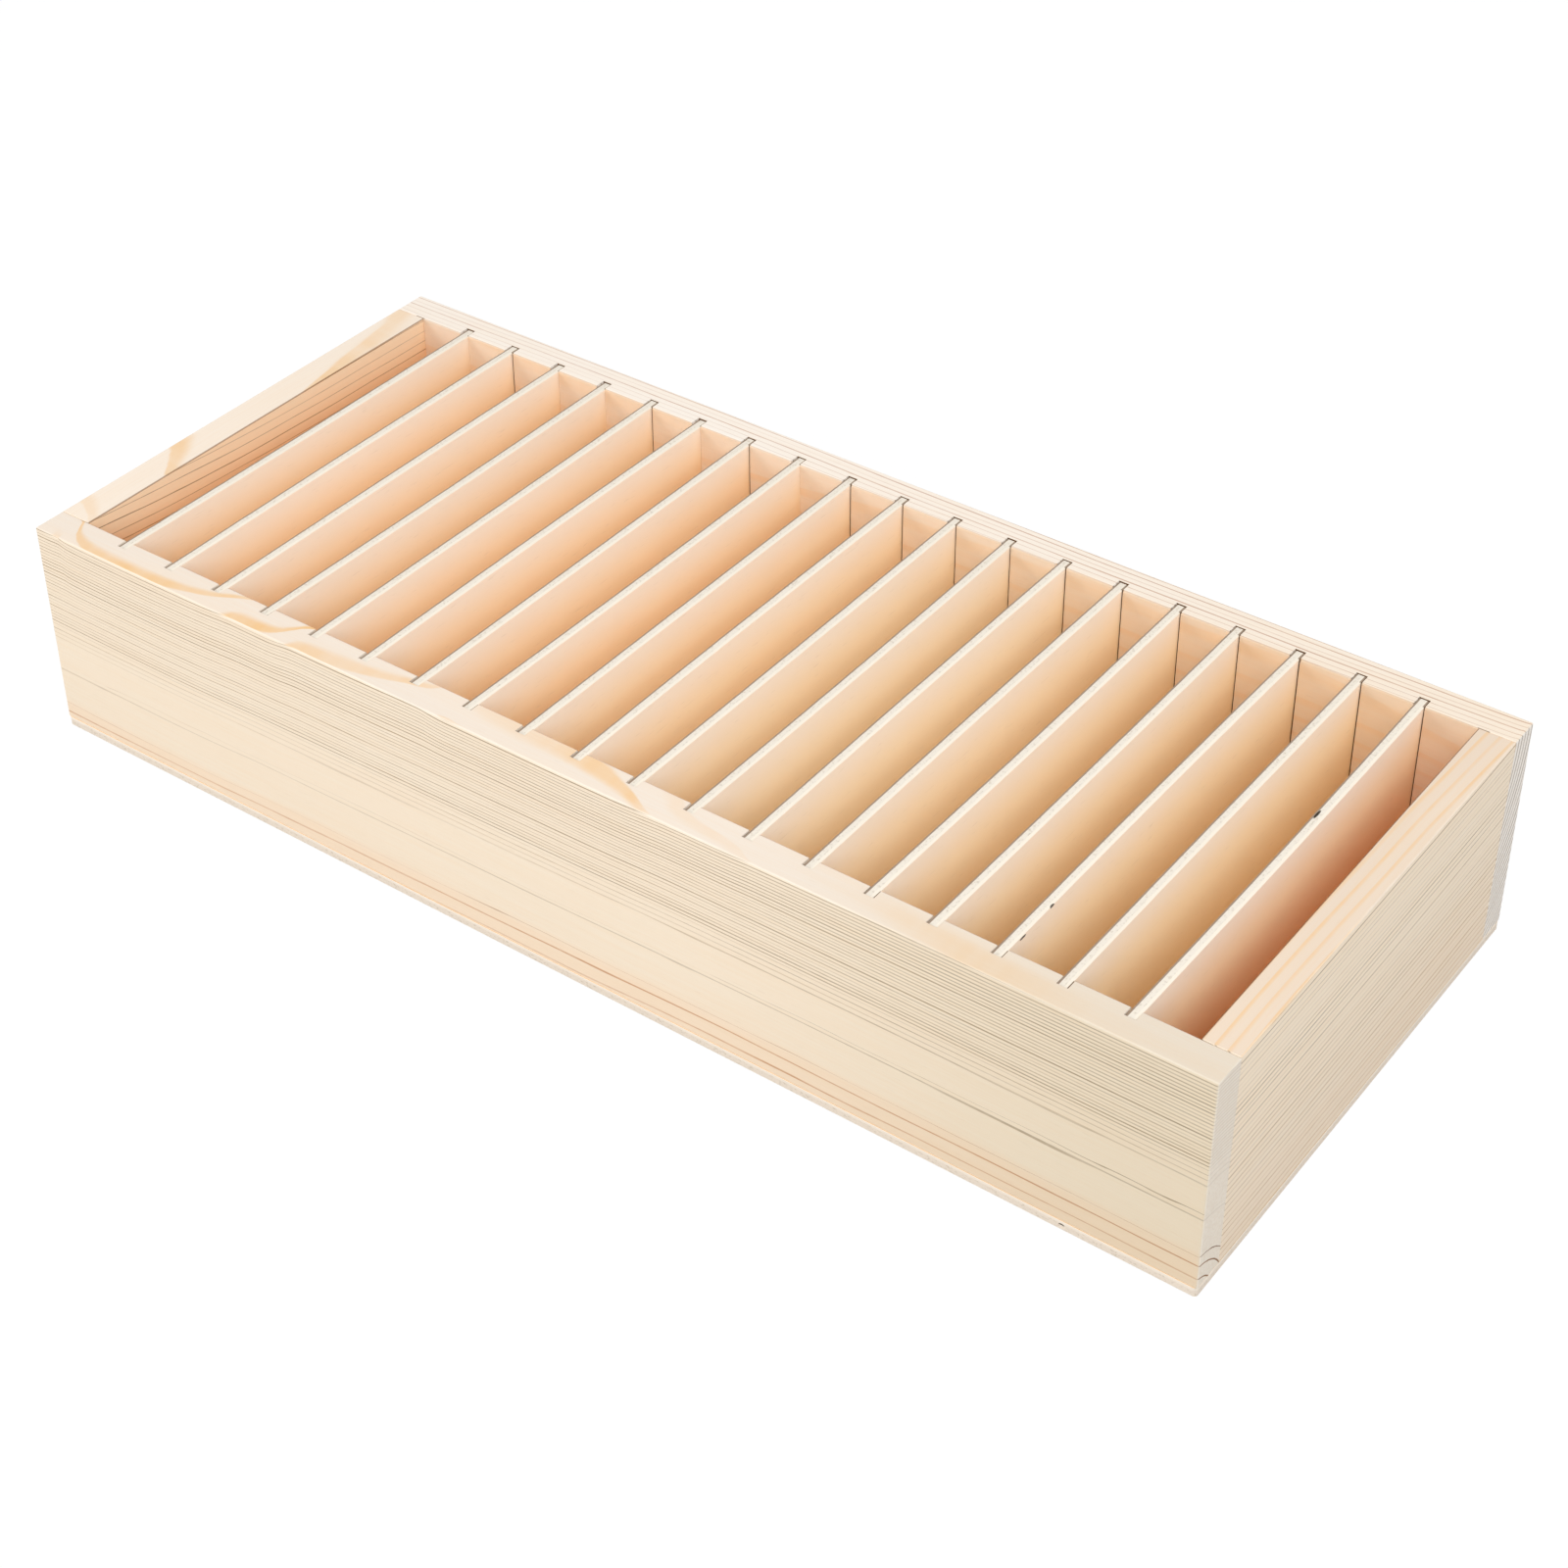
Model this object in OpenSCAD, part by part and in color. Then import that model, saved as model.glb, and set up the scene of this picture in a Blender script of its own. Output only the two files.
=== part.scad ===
// Wooden card organizer box: an open tray in which cards stand on edge, sorted into slots.
// Four pine boards are glued into a frame. The front and back boards run the full length,
// and the two end boards sit between them. A thin plywood bottom is glued under the frame.
// Plywood dividers stand in upright grooves in the front and back boards and lift out.
// The origin is the middle of the underside, +X runs left to right, +Y to the back, +Z up.

/* [Box] */
// Outer length of the box, left to right
box_length = 400; // [320:1:520]
// Outer width of the box, front to back
box_width = 171; // [120:1:240]
// Outer height of the box, underside to rim
box_height = 73; // [50:1:110]
// Sanding taken off every outer edge of the box
edge_ease = 0.4; // [0.2:0.1:1]

/* [Boards] */
// Thickness of the front and back boards
long_board_thickness = 11; // [9:0.5:16]
// Thickness of the two end boards
end_board_thickness = 11; // [9:0.5:16]

/* [Bottom] */
// Thickness of the plywood bottom
bottom_thickness = 3; // [2:0.5:6]

/* [Dividers] */
// Thickness of a plywood divider
divider_thickness = 3; // [2:0.1:4]
// Distance from the rim down to the top edge of a divider
divider_drop = 0.2; // [0:0.1:6]

/* [Grooves] */
// Depth of a groove in the inner face of a long board
groove_depth = 3.6; // [2:0.1:5]
// Play between a divider and each side of its groove
side_play = 0.2; // [0.1:0.05:0.4]
// Play between the end of a divider and the end of its groove
end_play = 0.25; // [0.1:0.05:0.5]

/* [Hidden] */
// Number of dividers, and of the slots that they make
divider_count = 19;
slot_count = divider_count + 1;

// Space inside the four boards
inner_length = box_length - 2 * end_board_thickness;
inner_width = box_width - 2 * long_board_thickness;

// Slots of equal length, with a divider between each two
slot_length = (inner_length - divider_count * divider_thickness) / slot_count;
divider_pitch = slot_length + divider_thickness;

// A divider stands on the bottom and reaches into the groove at each end
divider_length = inner_width + 2 * (groove_depth - end_play);
divider_height = box_height - bottom_thickness - divider_drop;
groove_width = divider_thickness + 2 * side_play;

// How far a cut runs past the face that it starts from
overcut = 1;

// Which way a board lies from the middle of the box
front = -1;
back = 1;
left = -1;
right = 1;

pine = [0.92, 0.85, 0.74];
plywood = [0.95, 0.89, 0.80];

function divider_name(number) = str("divider_", number < 10 ? "0" : "", number);

function divider_x(number) = number * divider_pitch - (inner_length + divider_thickness) / 2;

// Rectangle with its four corners cut off at 45 degrees
module eased_outline(width, height) {
    x = width / 2;
    y = height / 2;
    polygon([
        [edge_ease - x, -y], [x - edge_ease, -y],
        [x, edge_ease - y], [x, y - edge_ease],
        [x - edge_ease, y], [edge_ease - x, y],
        [-x, y - edge_ease], [-x, edge_ease - y]
    ]);
}

// The whole box as one block, with all twelve outer edges eased
module eased_block() {
    translate([0, 0, box_height / 2])
        intersection() {
            linear_extrude(box_height, center = true)
                eased_outline(box_length, box_width);
            rotate([90, 0, 0])
                linear_extrude(box_width, center = true)
                    eased_outline(box_length, box_height);
            rotate([90, 0, 90])
                linear_extrude(box_length, center = true)
                    eased_outline(box_width, box_height);
        }
}

// The part of that block that lies between two corners
module block_between(low, high) {
    intersection() {
        eased_block();
        translate(low)
            cube(high - low);
    }
}

// Upright groove for one divider, open at the rim and down to the bottom
module groove(number, side) {
    y = side * (inner_width + groove_depth - overcut) / 2;
    translate([divider_x(number), y, box_height / 2])
        cube([groove_width, groove_depth + overcut, box_height + 2 * overcut], center = true);
}

// Front or back board, full length, with a row of grooves in its inner face
module long_board(side) {
    inner_face = side * inner_width / 2;
    outer_face = side * (box_width / 2 + overcut);
    reach = box_length / 2 + overcut;
    color(pine)
        difference() {
            block_between(
                [-reach, min(inner_face, outer_face), bottom_thickness],
                [reach, max(inner_face, outer_face), box_height + overcut]
            );
            for (number = [1 : divider_count])
                groove(number, side);
        }
}

// End board, fitted between the two long boards
module end_board(side) {
    inner_face = side * inner_length / 2;
    outer_face = side * (box_length / 2 + overcut);
    color(pine)
        block_between(
            [min(inner_face, outer_face), -inner_width / 2, bottom_thickness],
            [max(inner_face, outer_face), inner_width / 2, box_height + overcut]
        );
}

module front_board() {
    long_board(front);
}

module back_board() {
    long_board(back);
}

module left_end_board() {
    end_board(left);
}

module right_end_board() {
    end_board(right);
}

// Plywood sheet under the four boards, flush with their outer faces
module bottom_panel() {
    x = box_length / 2 + overcut;
    y = box_width / 2 + overcut;
    color(plywood)
        block_between([-x, -y, -overcut], [x, y, bottom_thickness]);
}

// Loose plywood divider, standing on the bottom with its ends in two facing grooves
module divider(number) {
    corner = [divider_x(number) - divider_thickness / 2, -divider_length / 2, bottom_thickness];
    color(plywood)
        translate(corner)
            cube([divider_thickness, divider_length, divider_height]);
}

front_board();
back_board();
left_end_board();
right_end_board();
bottom_panel();
for (number = [1 : divider_count])
    divider(number);
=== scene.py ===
import math

import bmesh
import bpy
from mathutils import Matrix, Vector


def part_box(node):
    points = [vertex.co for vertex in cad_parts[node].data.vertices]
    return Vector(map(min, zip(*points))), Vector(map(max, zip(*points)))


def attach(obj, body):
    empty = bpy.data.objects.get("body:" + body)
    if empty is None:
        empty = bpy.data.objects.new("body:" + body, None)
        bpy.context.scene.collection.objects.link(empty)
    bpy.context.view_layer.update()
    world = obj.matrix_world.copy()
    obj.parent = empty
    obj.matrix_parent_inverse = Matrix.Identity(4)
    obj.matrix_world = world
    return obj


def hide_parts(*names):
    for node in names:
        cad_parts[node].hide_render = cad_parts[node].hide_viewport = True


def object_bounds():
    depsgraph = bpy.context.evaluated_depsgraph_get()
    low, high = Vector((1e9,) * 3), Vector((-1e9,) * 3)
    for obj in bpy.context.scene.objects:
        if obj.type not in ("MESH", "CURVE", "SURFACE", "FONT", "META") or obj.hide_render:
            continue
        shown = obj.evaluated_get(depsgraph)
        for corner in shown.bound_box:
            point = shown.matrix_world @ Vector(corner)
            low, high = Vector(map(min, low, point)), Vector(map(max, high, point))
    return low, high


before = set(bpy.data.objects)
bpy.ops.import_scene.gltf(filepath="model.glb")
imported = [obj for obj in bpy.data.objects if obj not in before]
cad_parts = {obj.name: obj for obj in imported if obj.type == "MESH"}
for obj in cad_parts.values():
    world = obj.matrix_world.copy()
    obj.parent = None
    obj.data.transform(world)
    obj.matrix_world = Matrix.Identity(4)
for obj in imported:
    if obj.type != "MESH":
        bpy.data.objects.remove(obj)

cad_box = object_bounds()


# Bottom panel: a sheet of 3 mm three-ply plywood, glued flush under the four boards.
# Its sawn edge shows as a pale strip below them, with a seam above it. The corners are
# rubbed round, and the lower front edge has lost a splinter near the right end.
MM = 0.001
panel_low, panel_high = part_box("bottom_panel")
PLY_HALF = 1.5 * MM
PLY_CORE_LEFT = -1.25 * MM
PLY_CORE_RIGHT = 0.60 * MM
PANEL_CORNER_ROUND = 1.3 * MM
PANEL_EDGE_ROUND = 0.3 * MM
SPLINTER_PLACE = (160.9 * MM, -85.6 * MM, 1.3 * MM)
SPLINTER_SIZE = (1.1 * MM, 0.5 * MM, 0.8 * MM)
SHEET_TOP = 34.9 * MM
SHEET_TO_SHEET = 0.731
BOARD_INNER = 74.5 * MM
BUMP_DEPTH = 0.1 * MM
# Painted light: the colour below makes each divider paler within 15 mm of its top edge, where more light
# falls into the slots.
VENEER_PAINTED_LIGHT_TOP = (0.980, 0.880, 0.765, 1.0)
VENEER_FACE = (0.998, 0.842, 0.592, 1.0)
VENEER_FACE_WARM = (0.998, 0.790, 0.530, 1.0)
# Painted light and shade: the next two colours tone the dividers by their place in the row, paler in the
# middle and tan at the right, for how light falls into the slots.
VENEER_FACE_PAINTED_LIGHT = (0.998, 0.885, 0.670, 1.0)
VENEER_FACE_PAINTED_SHADE = (0.975, 0.834, 0.600, 1.0)
VENEER_EDGE = (0.945, 0.864, 0.732, 1.0)
CORE_EDGE = (0.860, 0.790, 0.685, 1.0)
PANEL_VENEER_EDGE = (0.960, 0.870, 0.760, 1.0)
PANEL_CORE_EDGE = (0.860, 0.755, 0.640, 1.0)
CORE_PORE = (0.560, 0.470, 0.360, 1.0)
# Painted shade: the colour below fills the pits and the splinter hole near black, for the shade inside
# them.
PLY_PIT_SHADE = (0.030, 0.018, 0.010, 1.0)
# Painted shade: the colour below darkens divider faces in the groove gaps. It also draws a dark line along
# each divider's left top arris.
PLY_DARK_ARRIS_AND_GAP_SHADE = (0.220, 0.130, 0.070, 1.0)
VENEER_VOIDS = [
    (0, (0.10 * MM, 160.9 * MM, -85.4 * MM), (0.45 * MM, 0.90 * MM, 0.60 * MM)),
    (19, (-0.70 * MM, 16.8 * MM, 34.8 * MM), (0.38 * MM, 1.90 * MM, 0.60 * MM)),
    (17, (1.50 * MM, -53.9 * MM, 34.6 * MM), (0.45 * MM, 1.00 * MM, 0.35 * MM)),
    (17, (1.50 * MM, -67.7 * MM, 34.1 * MM), (0.50 * MM, 1.40 * MM, 0.40 * MM)),
]


def put(tree, kind, feeds=None, **settings):
    node = tree.nodes.new(kind)
    for setting, value in settings.items():
        setattr(node, setting, value)
    for socket, feed in (feeds or {}).items():
        if isinstance(feed, bpy.types.NodeSocket):
            tree.links.new(feed, node.inputs[socket])
        else:
            node.inputs[socket].default_value = feed
    return node


def figure(tree, operation, *feeds, clamp=False):
    sockets = dict(enumerate(feeds))
    return put(tree, "ShaderNodeMath", sockets, operation=operation, use_clamp=clamp).outputs[0]


def ease(tree, value, low, high, start=0.0, end=1.0):
    feeds = {"Value": value, "From Min": low, "From Max": high, "To Min": start, "To Max": end}
    return put(tree, "ShaderNodeMapRange", feeds, interpolation_type="SMOOTHSTEP").outputs[0]


def span(tree, value, low, high, start=0.0, end=1.0):
    feeds = {"Value": value, "From Min": low, "From Max": high, "To Min": start, "To Max": end}
    return put(tree, "ShaderNodeMapRange", feeds).outputs[0]


def tint(tree, share, first, second, mode="MIX"):
    feeds = {0: share, 6: first, 7: second}
    return put(tree, "ShaderNodeMix", feeds, data_type="RGBA", blend_type=mode).outputs[2]


def arrow(tree, operation, *feeds):
    return put(tree, "ShaderNodeVectorMath", dict(enumerate(feeds)), operation=operation).outputs[0]


def arrow_length(tree, vector):
    return put(tree, "ShaderNodeVectorMath", {0: vector}, operation="LENGTH").outputs["Value"]


def arrow_parts(tree, vector):
    return put(tree, "ShaderNodeSeparateXYZ", {0: vector}).outputs


def point_at(tree, x=0.0, y=0.0, z=0.0):
    return put(tree, "ShaderNodeCombineXYZ", {0: x, 1: y, 2: z}).outputs[0]


def stretch(tree, vector, scale):
    return arrow(tree, "MULTIPLY", vector, scale)


def chance(tree, value):
    return put(tree, "ShaderNodeTexWhiteNoise", {"W": value}, noise_dimensions="1D").outputs["Value"]


def mottle(tree, vector, scale, detail=2.0, roughness=0.5):
    feeds = {"Vector": vector, "Scale": scale, "Detail": detail, "Roughness": roughness}
    return put(tree, "ShaderNodeTexNoise", feeds)


def start_group(name, inputs, outputs):
    tree = bpy.data.node_groups.new(name, "ShaderNodeTree")
    for label, kind, default in inputs:
        socket = tree.interface.new_socket(label, in_out="INPUT", socket_type=kind)
        if default is not None:
            socket.default_value = default
    for label, kind in outputs:
        tree.interface.new_socket(label, in_out="OUTPUT", socket_type=kind)
    return tree, tree.nodes.new("NodeGroupInput").outputs, tree.nodes.new("NodeGroupOutput").inputs


def use_group(tree, group, feeds):
    return put(tree, "ShaderNodeGroup", feeds, node_tree=group).outputs


def start_material(name):
    material = bpy.data.materials.new(name)
    material.use_nodes = True
    material.node_tree.nodes.clear()
    return material, material.node_tree


def finish_material(tree, colour, roughness, height, relief, specular):
    bump = put(tree, "ShaderNodeBump", {"Height": height, "Strength": relief, "Distance": BUMP_DEPTH})
    feeds = {
        "Base Color": colour,
        "Roughness": roughness,
        "Normal": bump.outputs[0],
        "Specular IOR Level": specular,
    }
    shader = put(tree, "ShaderNodeBsdfPrincipled", feeds)
    put(tree, "ShaderNodeOutputMaterial", {"Surface": shader.outputs[0]})


def make_wood_fibres():
    inputs = [("Vector", "NodeSocketVector", None)]
    outputs = [("Streak", "NodeSocketFloat"), ("Fleck", "NodeSocketFloat"), ("Cloud", "NodeSocketFloat")]
    tree, given, result = start_group("wood_fibres", inputs, outputs)
    long_fibres = stretch(tree, given["Vector"], (28.0, 1300.0, 1300.0))
    streak = mottle(tree, long_fibres, 1.0, 3.0, 0.6).outputs["Fac"]
    short_fibres = stretch(tree, given["Vector"], (190.0, 2300.0, 2300.0))
    pores = mottle(tree, short_fibres, 1.0, 1.0, 0.5).outputs["Fac"]
    broad = stretch(tree, given["Vector"], (9.0, 55.0, 55.0))
    cloud = mottle(tree, broad, 1.0, 3.0, 0.55).outputs["Fac"]
    tree.links.new(streak, result["Streak"])
    tree.links.new(ease(tree, pores, 0.66, 0.80), result["Fleck"])
    tree.links.new(cloud, result["Cloud"])
    return tree


def make_plywood(name, veneer_edge, core_edge):
    material, tree = start_material(name)
    sheet = put(tree, "ShaderNodeAttribute", attribute_name="sheet_position").outputs["Vector"]
    number = put(tree, "ShaderNodeAttribute", attribute_name="sheet_number").outputs["Fac"]
    through, along, across = arrow_parts(tree, sheet)
    shift = figure(tree, "MULTIPLY", number, SHEET_TO_SHEET)
    own_along = figure(tree, "ADD", along, shift)
    fibre_place = point_at(tree, own_along, across, figure(tree, "ADD", through, shift))
    fibres = use_group(tree, wood_fibres, {"Vector": fibre_place})
    depth = figure(tree, "ABSOLUTE", through)
    is_edge = ease(tree, depth, PLY_HALF - 0.12 * MM, PLY_HALF - 0.02 * MM, 1.0, 0.0)
    glue_wander = mottle(tree, stretch(tree, fibre_place, (500.0, 500.0, 500.0)), 1.0).outputs["Fac"]
    wandered = figure(tree, "ADD", through, span(tree, glue_wander, 0.0, 1.0, -0.2 * MM, 0.2 * MM))
    past_left = ease(tree, wandered, PLY_CORE_LEFT - 0.1 * MM, PLY_CORE_LEFT + 0.1 * MM)
    short_of_right = ease(tree, wandered, PLY_CORE_RIGHT - 0.1 * MM, PLY_CORE_RIGHT + 0.1 * MM, 1.0, 0.0)
    is_core = figure(tree, "MULTIPLY", past_left, short_of_right)
    face = tint(tree, span(tree, fibres["Cloud"], 0.35, 0.65), VENEER_FACE, VENEER_FACE_WARM)
    face = tint(tree, span(tree, fibres["Streak"], 0.2, 0.8, 0.0, 0.35), face, VENEER_FACE_WARM)
    # Painted light and shade: by their place in the row, the dividers turn warmer to the left, paler in the
    # middle and tan to the right, for how light falls into the slots.
    painted_shade_left = ease(tree, number, 0.5, 10.0, 0.8, 0.0)
    face = tint(tree, painted_shade_left, face, VENEER_FACE_WARM)
    painted_light_middle = ease(tree, number, 8.0, 13.0, 0.0, ease(tree, number, 13.0, 18.0, 0.8, 0.1))
    face = tint(tree, painted_light_middle, face, VENEER_FACE_PAINTED_LIGHT)
    painted_shade_right = ease(tree, number, 12.0, 17.0, 0.0, 0.9)
    face = tint(tree, painted_shade_right, face, VENEER_FACE_PAINTED_SHADE)
    is_divider = figure(tree, "GREATER_THAN", number, 0.5)
    # Painted light: each divider is paler towards its top edge, where more light falls into the slot.
    painted_light_near_top = ease(tree, across, SHEET_TOP - 14.9 * MM, SHEET_TOP - 0.4 * MM, 0.0, 0.9)
    painted_light_near_top = figure(tree, "MULTIPLY", painted_light_near_top, is_divider)
    face = tint(tree, painted_light_near_top, face, VENEER_PAINTED_LIGHT_TOP)
    face = tint(tree, figure(tree, "MULTIPLY", fibres["Fleck"], 0.22), face, CORE_PORE)
    speck_place = stretch(tree, fibre_place, (1150.0, 1500.0, 1500.0))
    speck = mottle(tree, speck_place, 1.0, 2.0, 0.6).outputs["Fac"]
    core = tint(tree, ease(tree, speck, 0.50, 0.75, 0.0, 0.55), core_edge, CORE_PORE)
    rim = tint(tree, span(tree, fibres["Streak"], 0.25, 0.75, 0.0, 0.45), veneer_edge, core_edge)
    edge = tint(tree, is_core, rim, core)
    colour = tint(tree, is_edge, face, edge)
    # Painted shade: divider faces inside the grooves are darkened at the top corner and at the back end,
    # where the gaps lie in shade. The same dark colour draws a thin line along each divider's left top
    # arris.
    left_arris = ease(tree, through, -PLY_HALF + 0.50 * MM, -PLY_HALF + 0.62 * MM, 1.0, 0.0)
    top_arris = ease(tree, across, SHEET_TOP - 0.55 * MM, SHEET_TOP - 0.35 * MM, 0.0, 0.8)
    in_groove = ease(tree, figure(tree, "ABSOLUTE", along), BOARD_INNER, BOARD_INNER + 0.2 * MM)
    right_corner = ease(tree, through, PLY_HALF - 0.15 * MM, PLY_HALF - 0.05 * MM, 0.0, in_groove)
    top_gap_shade = ease(tree, across, SHEET_TOP - 0.7 * MM, SHEET_TOP - 0.5 * MM, 0.0, right_corner)
    back_gap_shade = ease(tree, along, BOARD_INNER + 0.7 * MM, BOARD_INNER + 0.9 * MM, right_corner, 0.0)
    back_gap_shade = figure(tree, "MULTIPLY", back_gap_shade, figure(tree, "GREATER_THAN", along, 0.0))
    dark_arris_and_gap_shade = figure(tree, "MAXIMUM", figure(tree, "MULTIPLY", left_arris, top_arris), top_gap_shade)
    dark_arris_and_gap_shade = figure(tree, "MAXIMUM", dark_arris_and_gap_shade, back_gap_shade)
    back_corner_gap_shade = ease(tree, along, BOARD_INNER, BOARD_INNER + 0.3 * MM, 0.0, top_arris)
    back_corner_gap_shade = ease(tree, through, PLY_HALF - 0.6 * MM, PLY_HALF - 0.45 * MM, 0.0, back_corner_gap_shade)
    dark_arris_and_gap_shade = figure(tree, "MAXIMUM", dark_arris_and_gap_shade, back_corner_gap_shade)
    dark_arris_and_gap_shade = figure(tree, "MULTIPLY", dark_arris_and_gap_shade, is_divider)
    colour = tint(tree, dark_arris_and_gap_shade, colour, PLY_DARK_ARRIS_AND_GAP_SHADE)
    # Painted shade: the pits and the splinter hole are coloured near black, for the shade inside them.
    for void_number, void_place, void_size in VENEER_VOIDS:
        apart = arrow(tree, "SUBTRACT", sheet, void_place)
        away = arrow_length(tree, arrow(tree, "DIVIDE", apart, void_size))
        here = figure(tree, "COMPARE", number, float(void_number), 0.1)
        painted_pit_shade = figure(tree, "MULTIPLY", ease(tree, away, 0.9, 1.15, 1.0, 0.0), here)
        colour = tint(tree, painted_pit_shade, colour, PLY_PIT_SHADE)
    tone = span(tree, chance(tree, number), 0.0, 1.0, 0.985, 1.0)
    tone_grey = put(tree, "ShaderNodeCombineColor", {0: tone, 1: tone, 2: tone}).outputs[0]
    colour = tint(tree, 1.0, colour, tone_grey, "MULTIPLY")
    roughness = span(tree, fibres["Streak"], 0.2, 0.8, 0.56, 0.72)
    rough_edge = figure(tree, "MULTIPLY", speck, is_edge)
    height = figure(tree, "ADD", figure(tree, "MULTIPLY", fibres["Streak"], 0.5), rough_edge)
    finish_material(tree, colour, roughness, height, 0.35, 0.22)
    return material


wood_fibres = make_wood_fibres()
panel_plywood = make_plywood("plywood_panel", PANEL_VENEER_EDGE, PANEL_CORE_EDGE)


def bevel_edges(shape, chosen, width, steps):
    edges = [edge for edge in shape.edges if chosen(edge)]
    settings = {"segments": steps, "profile": 0.5, "affect": "EDGES", "clamp_overlap": True}
    bmesh.ops.bevel(shape, geom=edges, offset=width, **settings)


def start_block(low, high):
    shape = bmesh.new()
    middle = (Vector(low) + Vector(high)) / 2
    size = Vector(high) - Vector(low)
    place = Matrix.Translation(middle) @ Matrix.Diagonal((*size, 1.0))
    bmesh.ops.create_cube(shape, size=1.0, matrix=place)
    return shape


def is_upright(edge):
    a, b = edge.verts
    return abs((a.co - b.co).normalized().z) > 0.99


def is_square(edge):
    return edge.calc_face_angle(0.0) > 1.4 and edge.calc_length() > 3 * MM


def finish_mesh(name, shape):
    bmesh.ops.recalc_face_normals(shape, faces=shape.faces)
    mesh = bpy.data.meshes.new(name)
    shape.to_mesh(mesh)
    shape.free()
    piece = bpy.data.objects.new(name, mesh)
    bpy.context.scene.collection.objects.link(piece)
    return piece


def start_tree(name, inputs):
    tree = bpy.data.node_groups.new(name, "GeometryNodeTree")
    names = {}
    for label, kind, default in inputs:
        socket = tree.interface.new_socket(label, in_out="INPUT", socket_type=kind)
        if default is not None:
            socket.default_value = default
        names[label] = socket.identifier
    tree.interface.new_socket("Geometry", in_out="OUTPUT", socket_type="NodeSocketGeometry")
    given = tree.nodes.new("NodeGroupInput").outputs
    result = tree.nodes.new("NodeGroupOutput").inputs[0]
    return tree, given, result, names


def end_tree(tree, geometry, material, result):
    real = put(tree, "GeometryNodeRealizeInstances", {0: geometry}).outputs[0]
    painted = put(tree, "GeometryNodeSetMaterial", {"Geometry": real, "Material": material}).outputs[0]
    tree.links.new(painted, result)


def run_tree(piece, tree, names, values):
    modifier = piece.modifiers.new(tree.name, "NODES")
    modifier.node_group = tree
    for label, value in values.items():
        modifier[names[label]] = value
    bpy.context.view_layer.update()
    shaped = piece.evaluated_get(bpy.context.evaluated_depsgraph_get())
    mesh = bpy.data.meshes.new_from_object(shaped)
    piece.modifiers.remove(modifier)
    piece.data = mesh
    return piece


def rough_ball(tree):
    return put(tree, "GeometryNodeMeshIcoSphere", {"Radius": 1.0, "Subdivisions": 2}).outputs["Mesh"]


def make_splinter_tree():
    inputs = [
        ("Geometry", "NodeSocketGeometry", None),
        ("Place", "NodeSocketVector", (0.0, 0.0, 0.0)),
        ("Size", "NodeSocketVector", (0.001, 0.001, 0.001)),
        ("Material", "NodeSocketMaterial", None),
    ]
    tree, given, result, names = start_tree("lost_splinter", inputs)
    feeds = {"Geometry": rough_ball(tree), "Translation": given["Place"], "Scale": given["Size"]}
    knife = put(tree, "GeometryNodeTransform", feeds).outputs[0]
    cut = put(tree, "GeometryNodeMeshBoolean", operation="DIFFERENCE", solver="EXACT")
    tree.links.new(given["Geometry"], cut.inputs["Mesh 1"])
    tree.links.new(knife, cut.inputs["Mesh 2"])
    end_tree(tree, cut.outputs[0], given["Material"], result)
    return tree, names


def note_sheet(mesh, positions, number):
    mesh.attributes.new("sheet_number", "FLOAT", "POINT")
    place = mesh.attributes.new("sheet_position", "FLOAT_VECTOR", "POINT")
    for index, position in enumerate(positions):
        place.data[index].vector = position
    for point in mesh.attributes["sheet_number"].data:
        point.value = number


panel_shape = start_block(panel_low, panel_high)
bevel_edges(panel_shape, is_upright, PANEL_CORNER_ROUND, 3)
bevel_edges(panel_shape, is_square, PANEL_EDGE_ROUND, 2)
panel = finish_mesh("bottom_panel_sheet", panel_shape)
splinter_tree, splinter_names = make_splinter_tree()
splinter_values = {"Place": SPLINTER_PLACE, "Size": SPLINTER_SIZE, "Material": panel_plywood}
run_tree(panel, splinter_tree, splinter_names, splinter_values)
panel_places = [(point.co.z - PLY_HALF, point.co.x, point.co.y) for point in panel.data.vertices]
note_sheet(panel.data, panel_places, 0.0)
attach(panel, "box")
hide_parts("bottom_panel")


# Front and back boards: planed pine, full length, the front one sawn close to the heart of
# the log. A row of upright saw grooves in the inner face takes the dividers, and some groove
# mouths have lost a splinter. The boards are glued to the end boards and the bottom.
OUTER_ARRIS = 0.45 * MM
JOINT_ARRIS = 0.16 * MM
GROOVE_WIDTH = 3.4 * MM
GROOVE_DEPTH = 3.6 * MM
GROOVE_PITCH = 19.05 * MM
GROOVE_COUNT = 19
FIRST_GROOVE = -9 * GROOVE_PITCH
OVERCUT = 2.0 * MM
CHIP_SIZE = 0.55 * MM
CHIP_CHANCE = 0.45
CHIP_SMALLEST = (0.4, 0.3, 0.6)
CHIP_LARGEST = (1.3, 1.0, 2.6)
CHIP_TURN_LOW = (-0.5, -0.5, -0.5)
CHIP_TURN_HIGH = (0.5, 0.5, 0.5)
BOX_MIDDLE = (0.0, 0.0, 36.5 * MM)
BOX_HALF = (200.0 * MM, 85.5 * MM, 36.5 * MM)
RIM_HEIGHT = 73.0 * MM
RIM_GRAIN_START = 40.0 * MM
END_BOARD_INNER = 189.0 * MM
SANDED_WIDTH = 0.7 * MM
FADE_LEFT = -0.14
FADE_RIGHT = 0.12
PINE_EARLY = (0.950, 0.828, 0.668, 1.0)
PINE_ORANGE = (0.980, 0.785, 0.560, 1.0)
PINE_RIM = (0.875, 0.785, 0.690, 1.0)
PINE_FACE = (0.875, 0.750, 0.610, 1.0)
PINE_RIM_DULL = (0.780, 0.655, 0.540, 1.0)
PINE_RIM_PALE = (0.935, 0.835, 0.725, 1.0)
PINE_PALE = (0.970, 0.915, 0.845, 1.0)
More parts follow.
